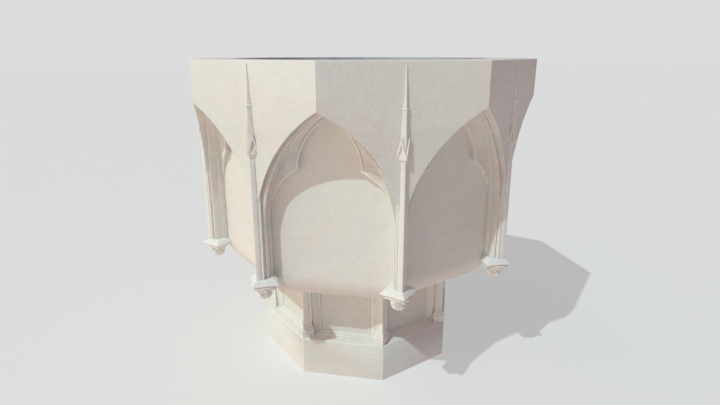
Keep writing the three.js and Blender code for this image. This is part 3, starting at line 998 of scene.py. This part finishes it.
def make_bowl():
    """Octagonal outside, round basin, and seats for the lining and the waste."""
    body = stack("bowl_look", bowl_outside(0, 20), SIDES)
    combine(body, [
        stack(name, profile, sides) for name, profile, sides in (
            ("hollow", basin(LINING + GAP), ROUND_SIDES),
            ("rebate", [(FLANGE + GAP, TOP - LINING - GAP), (FLANGE + GAP, TOP + 5)], ROUND_SIDES),
            ("bore", [(34, 290), (34, 620)], 48),
            ("seat", [(WASTE_RADIUS + 6, WASTE_SEAT - 8), (WASTE_RADIUS + 6, BASIN_FLOOR)], 48),
        )
    ])
    return shade(triangulate(clean(body, flat=0.2)), 20)


def cad_copy(node, name):
    """New object with the shape of a CAD node, which stays as it is."""
    return linked(name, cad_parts[node].data.copy())


def refined(node, name, width):
    """Copy of a CAD node's shape with its flat faces joined and its arrises rounded; the rounds
    carry painted highlight.
    """
    return shade(bevel(clean(cad_copy(node, name)), width, everywhere), 24)


def make_stem_core():
    """Panelled core, with a small square fillet round each sunk panel."""
    obj = cad_copy("stem_core", "stem_core_look")

    def block(name, across, low, high, inner, outer):
        outline = [(-across, low), (across, low), (across, high), (-across, high)]
        return slab(name, outline, inner, outer)

    frames = []
    for k in range(SIDES):
        border = block("border", 79, 130, 277, SUNK_PANEL, SUNK_BORDER)
        hole = block("hole", 74.2, 134.8, 272.2, SUNK_PANEL - 3, SUNK_BORDER + 2.4)
        frames.append(rotated(combine(border, [hole]), STEP * (k + 0.5)))
    clean(combine(obj, frames, "UNION"))
    # the fillets' front faces and the bevels below take the second slot, painted highlight
    two_slots(obj)
    for face in obj.data.polygons:
        turn = HALF_STEP * round(math.atan2(face.normal.x, -face.normal.y) / HALF_STEP)
        ahead = Vector((math.sin(turn), -math.cos(turn), 0))
        off_border = abs(face.center.dot(ahead) * TO_MM - SUNK_BORDER)
        if face.normal.dot(ahead) > 0.99 and off_border < 0.3:
            face.material_index = 1
    bevel(obj, 1.1, lambda p: 126 < p.z < 296 and math.hypot(p.x, p.y) > SUNK_PANEL - 1)
    return shade(obj, 24)


def make_stem_shaft():
    """Square shaft set diagonally on a moulded base, quirked near its outer arrises."""
    base = [
        (23.5, 118.3), (24.2, 119.1), (24.2, 135.4), (25.8, 136.8), (26.8, 138.6), (26.8, 140.8),
        (25.4, 142.6), (22.2, 143.6), (22.0, 144.8), (24.8, 146.2), (25.5, 148), (24.6, 149.6),
        (21.2, 150.6), (21.0, 151.8), (23.4, 153), (24.0, 154.4), (23.2, 155.8), (20.0, 156.8),
        (19.8, 158), (21.4, 159.2), (21.4, 160.6), (18.6, 162), (18, 163.6),
    ]
    profile = [(r, z, 0) for r, z in base]
    profile += [(18, z, STEM_QUIRK) for z in (165.6, BOWL_UNDERSIDE - GAP)]
    rings = []
    for r, z, quirk in profile:
        right = quirked_facet(r, r, quirk, (0.58, 0.63, 0.79, 0.84))
        left = [(-x, y) for x, y in reversed(right)]
        plan = soften([(0, -r), *right, (r, 0), (0, r), (-r, 0), *left], 0.8)
        rings.append([(x, y - STEM_SHAFT_CENTRE, z) for x, y in plan])
    return loft("stem_shaft", rings)


# ------------------------------------------------------------------ lining, waste, plug and ring
def make_lining():
    """Lead sheet over the basin, bent outward into a flange at the rim."""
    inside = basin(0)
    outside = basin(LINING)
    inside[-1] = (BASIN_RADIUS - 0.1, TOP - 2)
    outside[-1] = (BASIN_RADIUS + LINING - 0.2, TOP - LINING)
    bend = [(BASIN_RADIUS + 0.3, TOP - 0.8), (BASIN_RADIUS + 1.6, TOP - 0.1)]
    rim = [(FLANGE - 3.6, TOP), (FLANGE - 0.8, TOP - 0.3), (FLANGE, TOP - 1.3)]
    rim.append((FLANGE - 0.3, TOP - LINING))
    profile = [(WASTE_RADIUS + GAP, WASTE_SEAT), *inside[1:], *bend, *rim]
    profile += [*reversed(outside[1:]), (WASTE_RADIUS + GAP, WASTE_SEAT - LINING)]
    return shade(annulus("lining_look", profile, ROUND_SIDES), 40)


def make_waste():
    """Flanged brass waste with a plain tail."""
    top = WASTE_SEAT
    profile = [
        (28.0, top - 0.6), (28.6, top), (37.6, top), (39, top - 0.5), (41.2, top - 1.6),
        (42, top - 2.8), (42, top - 5.6), (41.6, top - 6), (29, top - 6), (29, 500.6), (28.4, 500),
        (24.9, 500), (24.3, 500.6), (24.3, 530), (21.5, 530), (21.5, 582), (21.5, top - 16),
        (24.5, top - 16),
    ]
    return shade(annulus("waste_look", profile, 96), 30)


def make_plug():
    """Tapered stopper with a drilled post for the ring."""
    low = WASTE_SEAT
    stopper = annulus("plug_look", [
        (0, low - 14), (22.3, low - 14), (23.5, low - 13.2), (27.2, low - 0.6), (27.4, low + 0.6),
        (27.4, PLUG_TOP - 1.4), (26.9, PLUG_TOP - 0.4), (25.8, PLUG_TOP), (9.4, PLUG_TOP - 0.25),
        (8.4, PLUG_TOP - 0.25), (0, PLUG_TOP - 0.2),
    ], 96)
    post = slab("post", soften([
        (-5.5, PLUG_TOP - 1), (5.5, PLUG_TOP - 1), (5.5, EYE + 3), (3, EYE + 6),
        (-3, EYE + 6), (-5.5, EYE + 3),
    ], 0.9), -2, 2)
    eye = slab("eye", [(x, z + EYE) for x, z in regular(28, RING_WIRE + 0.9)], -4, 4)
    combine(stopper, [post], "UNION")
    combine(stopper, [eye])
    return shade(triangulate(stopper), 35)


def make_ring():
    """Round ring of wire, lying level with one side in the eye of the post."""
    verts, faces = [], []
    turns, sides = 72, 18
    for i in range(turns):
        a = math.tau * i / turns
        for j in range(sides):
            b = math.tau * j / sides
            r = RING_RADIUS + RING_WIRE * math.cos(b)
            lift = RING_WIRE * math.sin(b)
            verts.append((RING_RADIUS + r * math.cos(a), r * math.sin(a), EYE + lift))
            here, beyond = i * sides, (i + 1) % turns * sides
            j2 = (j + 1) % sides
            faces.append((here + j, beyond + j, beyond + j2, here + j2))
    return shade(new_object("ring_look", verts, faces), 60)


# ------------------------------------------------------------------ assembly
# the pinnacle is cut with a copy of FACE_STONE, so it comes before that has its materials
pinnacle = make_pinnacle()
around(FACE_STONE, "face_stone", STONE)
around(pinnacle, "pinnacle", PALE)
around(make_corbel(), "corbel", WHITE_STONE_AND_HIGHLIGHT)
around(make_stem_shaft(), "stem_shaft", PALE)
finish_piece(make_bowl(), BOWL_STONE, "font", ["bowl"])
finish_piece(make_stem_core(), STONE, "font", ["stem_core"])
finish_piece(refined("plinth", "plinth_look", 1.6), PLINTH_STONE, "font", ["plinth"])
finish_piece(make_lining(), LEAD, "font", ["lead_lining"])
finish_piece(make_waste(), BRASS, "font", ["waste_fitting"])
finish_piece(refined("waste_pipe", "waste_pipe_look", 0.5), LEAD, "font", ["waste_pipe"])
finish_piece(make_plug(), RUBBER, "plug", ["drain_plug"])
finish_piece(make_ring(), BRASS, "ring", ["pull_ring"])


# ------------------------------------------------------------------ floor, light and camera
FLOOR_REACH = 40000.0
FLOOR_DIFFUSE = colour(0.645, 0.557, 0.530)
FLOOR_GLOW = colour(0.232, 0.301, 0.300)
BACKDROP = colour(0.718, 0.718, 0.718)
FROM_LEFT = colour(1.370, 1.150, 0.830)
FROM_FRONT = colour(0.140, 0.240, 0.300)
FROM_RIGHT = colour(0.200, 0.180, 0.172)
FROM_ABOVE = colour(0.420, 0.330, 0.385)
FROM_BELOW = colour(0.820, 0.700, 0.665)
SUN_AZIMUTH, SUN_HEIGHT, SUN_DISTANCE = -56.0, 50.8, 6.0
SUN_POWER, SUN_TINT, SUN_WIDTH = 1.57, (0.75, 0.975, 1.0), 0.8
CAMERA_PLACE = (-0.3411, -1.5776, 0.9598)
CAMERA_DIP, CAMERA_TURN, CAMERA_LENS = 16.76, -12.2, 24.78


def make_floor():
    """Even paper that takes the sun's shadow, but neither bounces light nor blocks it."""
    r = FLOOR_REACH
    floor = new_object("floor", [(-r, -r, 0), (r, -r, 0), (r, r, 0), (-r, r, 0)], [(0, 1, 2, 3)])
    s = Shader.material("floor_paper")
    shell = s.node("ShaderNodeBsdfDiffuse", {"Color": FLOOR_DIFFUSE})
    glow = s.node("ShaderNodeEmission", {"Color": FLOOR_GLOW, "Strength": 1.0})
    both = s.node("ShaderNodeAddShader", {0: shell.outputs[0], 1: glow.outputs[0]})
    floor.data.materials.append(s.output(both))
    floor.visible_diffuse = floor.visible_glossy = floor.visible_shadow = False


def make_world():
    """Soft light, strongest from the left and from below; the camera sees one even grey."""
    world = bpy.data.worlds.new("studio")
    bpy.context.scene.world = world
    s = Shader(world)
    way = s.node("ShaderNodeTexCoord").outputs["Generated"]
    split = s.node("ShaderNodeSeparateXYZ", {"Vector": way}).outputs
    side = s.mix(s.ramp(split[0], -0.1, -1.0), FROM_FRONT, FROM_LEFT)
    side = s.mix(s.ramp(split[0], 0.1, 1.0), side, FROM_RIGHT)
    high = s.mix(s.ramp(split[2], 0.0, 0.8), side, FROM_ABOVE)
    low = s.mix(s.ramp(split[2], 0.0, -0.6), high, FROM_BELOW)
    lit = s.node("ShaderNodeBackground", {"Color": low, "Strength": 1.0})
    seen = s.node("ShaderNodeBackground", {"Color": BACKDROP, "Strength": 1.0})
    path = s.node("ShaderNodeLightPath").outputs["Is Camera Ray"]
    pick = s.node("ShaderNodeMixShader", {0: path, 1: lit.outputs[0], 2: seen.outputs[0]})
    s.output(pick, "ShaderNodeOutputWorld")


def make_sun():
    data = bpy.data.lights.new("key", "SUN")
    data.energy = SUN_POWER
    data.color = SUN_TINT
    data.angle = math.radians(SUN_WIDTH)
    sun = linked("key", data)
    a, e = math.radians(SUN_AZIMUTH), math.radians(SUN_HEIGHT)
    way = Vector((math.sin(a) * math.cos(e), -math.cos(a) * math.cos(e), math.sin(e)))
    sun.location = way * SUN_DISTANCE
    sun.rotation_euler = (-way * SUN_DISTANCE).to_track_quat("-Z", "Y").to_euler()


def make_camera():
    data = bpy.data.cameras.new("camera")
    data.sensor_width = 36
    data.lens = CAMERA_LENS
    data.clip_start, data.clip_end = 0.02, 200
    camera = linked("camera", data)
    camera.location = CAMERA_PLACE
    camera.rotation_euler = (math.radians(90 - CAMERA_DIP), 0, math.radians(CAMERA_TURN))
    bpy.context.scene.camera = camera


make_floor()
make_world()
make_sun()
make_camera()
bpy.context.scene.view_settings.view_transform = "Standard"
